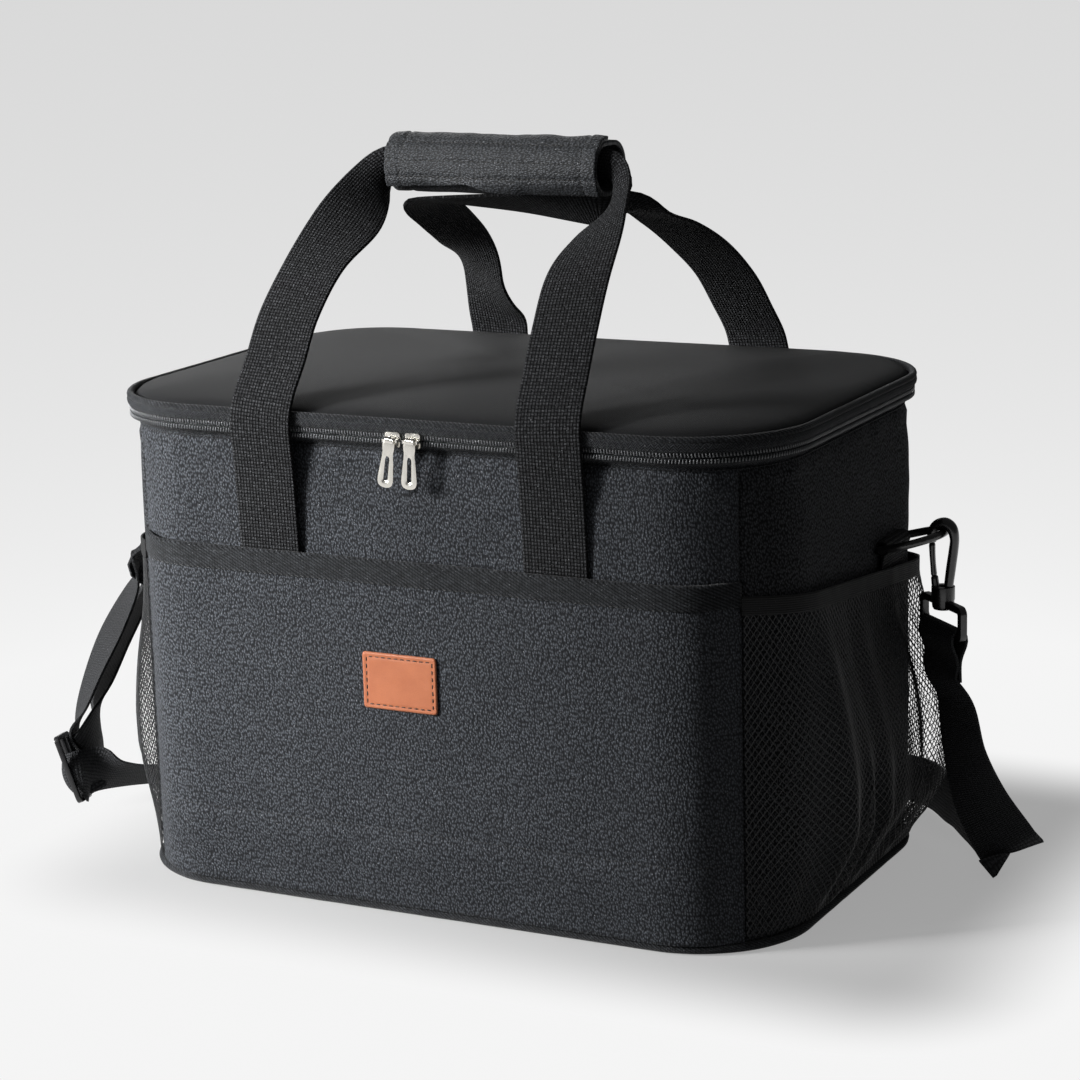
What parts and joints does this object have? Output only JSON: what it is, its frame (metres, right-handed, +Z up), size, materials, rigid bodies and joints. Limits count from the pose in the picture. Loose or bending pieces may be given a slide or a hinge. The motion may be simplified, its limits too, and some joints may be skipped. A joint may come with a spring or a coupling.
{
  "type": "insulated cooler bag",
  "caption": "Soft insulated cooler bag with a zip-open padded lid, wrapped carry handles, clip-on shoulder strap, front slip pocket and mesh side pockets.",
  "frame": {"origin": "centre of the base, on the surface the bag stands on", "axes": "+Z up, -Y out of the front with the label, +X to the right seen from the front"},
  "size_m": [0.609, 0.3288, 0.4211],
  "materials": {
    "shell_fabric": "matte heathered polyester",
    "piping": "woven twill",
    "board": "rough",
    "foam": "closed cell foam",
    "liner": "smooth silver film",
    "binding": "ribbed elastic tape",
    "mesh": "open diamond net",
    "label_leather": "smooth tan",
    "thread": "matte",
    "zip_tape": "herringbone weave",
    "zip_coil": "satin nylon",
    "nickel": "polished nickel",
    "webbing": "coarse basket weave",
    "wrap_fabric": "padded twill",
    "fastener": "hook and loop",
    "black_plastic": "glossy moulded"
  },
  "bodies": {
    "bag": {"front_panel": "shell_fabric", "back_panel": "shell_fabric", "side_panel_left": "shell_fabric", "side_panel_right": "shell_fabric", "base_panel": "shell_fabric", "base_piping": "piping", "base_board": "board", "base_foam": "foam", "front_foam": "foam", "back_foam": "foam", "side_foam_left": "foam", "side_foam_right": "foam", "inner_liner": "liner", "rim_binding": "binding", "front_pocket_panel": "shell_fabric", "front_pocket_hem": "piping", "leather_label": "label_leather", "label_stitching": "thread", "mesh_pocket_left": "mesh", "mesh_pocket_right": "mesh", "mesh_binding_left": "binding", "mesh_binding_right": "binding", "zipper_tape_lower": "zip_tape", "zipper_coil_lower": "zip_coil", "lid_hinge_strip": "zip_tape", "front_handle_end_left": "webbing", "front_handle_end_right": "webbing", "back_handle_end_left": "webbing", "back_handle_end_right": "webbing", "d_ring_tab_left": "webbing", "d_ring_tab_right": "webbing", "strap_loop_left": "black_plastic", "strap_loop_right": "black_plastic", "shoulder_strap": "webbing", "strap_adjuster": "black_plastic"},
    "lid": {"lid_panel": "shell_fabric", "lid_foam": "foam", "lid_liner": "liner", "lid_piping": "piping", "zipper_tape_upper": "zip_tape", "zipper_coil_upper": "zip_coil"},
    "front_handle": {"front_handle_webbing": "webbing", "handle_wrap": "wrap_fabric", "wrap_fastener_strip": "fastener"},
    "handle_flap": {"wrap_flap": "wrap_fabric"},
    "back_handle": {"back_handle_webbing": "webbing"},
    "slider_left": {"slider_left": "nickel"},
    "slider_right": {"slider_right": "nickel"},
    "pull_left": {"pull_left": "nickel"},
    "pull_right": {"pull_right": "nickel"},
    "d_ring_left": {"d_ring_left": "black_plastic"},
    "d_ring_right": {"d_ring_right": "black_plastic"},
    "hook_left": {"hook_left": "black_plastic"},
    "hook_right": {"hook_right": "black_plastic"},
    "gate_left": {"gate_left": "black_plastic"},
    "gate_right": {"gate_right": "black_plastic"}
  },
  "joints": [
    {"name": "lid_hinge", "type": "hinge", "parent": "bag", "child": "lid", "pos_m": [0, 0.1384, 0.27], "axis": [-1, 0, 0], "range_deg": [0, 105], "deforming": ["lid_hinge_strip", "front_handle_webbing", "back_handle_webbing"]},
    {"name": "front_handle_fold", "type": "hinge", "parent": "bag", "child": "front_handle", "pos_m": [0, -0.139, 0.262], "axis": [1, 0, 0], "range_deg": [0, 180.1]},
    {"name": "back_handle_fold", "type": "hinge", "parent": "bag", "child": "back_handle", "pos_m": [0, 0.139, 0.262], "axis": [-1, 0, 0], "range_deg": [0, 180.1]},
    {"name": "wrap_flap_open", "type": "hinge", "parent": "front_handle", "child": "handle_flap", "pos_m": [0, -0.016, 0.4189], "axis": [-1, 0, 0], "range_deg": [0, 90], "stiffness_Nm_per_rad": 0.02},
    {"name": "slider_left_slide", "type": "slide", "parent": "bag", "child": "slider_left", "axis": [-1, 0, 0], "range_m": [0, 0.125]},
    {"name": "slider_right_slide", "type": "slide", "parent": "bag", "child": "slider_right", "axis": [1, 0, 0], "range_m": [0, 0.125]},
    {"name": "pull_left_swing", "type": "hinge", "parent": "slider_left", "child": "pull_left", "pos_m": [-0.0062, -0.1426, 0.27], "axis": [-1, 0, 0], "range_deg": [-12, 165]},
    {"name": "pull_right_swing", "type": "hinge", "parent": "slider_right", "child": "pull_right", "pos_m": [0.0062, -0.1426, 0.27], "axis": [-1, 0, 0], "range_deg": [-12, 165]},
    {"name": "d_ring_left_swing", "type": "hinge", "parent": "bag", "child": "d_ring_left", "pos_m": [-0.2069, 0.048, 0.19], "axis": [0, 1, 0], "range_deg": [-5, 0]},
    {"name": "hook_left_swivel", "type": "hinge", "parent": "bag", "child": "hook_left", "pos_m": [-0.26235, 0.048, 0.17534], "axis": [0.7431, 0, 0.6691], "range_deg": [-8, 8]},
    {"name": "gate_left_press", "type": "hinge", "parent": "hook_left", "child": "gate_left", "pos_m": [-0.25088, 0.048, 0.17679], "axis": [0, -1, 0], "range_deg": [0, 15], "stiffness_Nm_per_rad": 0.05},
    {"name": "d_ring_right_swing", "type": "hinge", "parent": "bag", "child": "d_ring_right", "pos_m": [0.2069, 0.048, 0.19], "axis": [0, -1, 0], "range_deg": [-18, 0]},
    {"name": "hook_right_swivel", "type": "hinge", "parent": "bag", "child": "hook_right", "pos_m": [0.23708, 0.048, 0.16409], "axis": [0, 0, 1], "range_deg": [-8, 8]},
    {"name": "gate_right_press", "type": "hinge", "parent": "hook_right", "child": "gate_right", "pos_m": [0.23048, 0.048, 0.17359], "axis": [0, 1, 0], "range_deg": [0, 15], "stiffness_Nm_per_rad": 0.05}
  ],
  "couplings": [
    {"joint": "front_handle_fold", "follows": "lid_hinge", "ratio": 1.7143},
    {"joint": "back_handle_fold", "follows": "lid_hinge", "ratio": 1.7143}
  ]
}
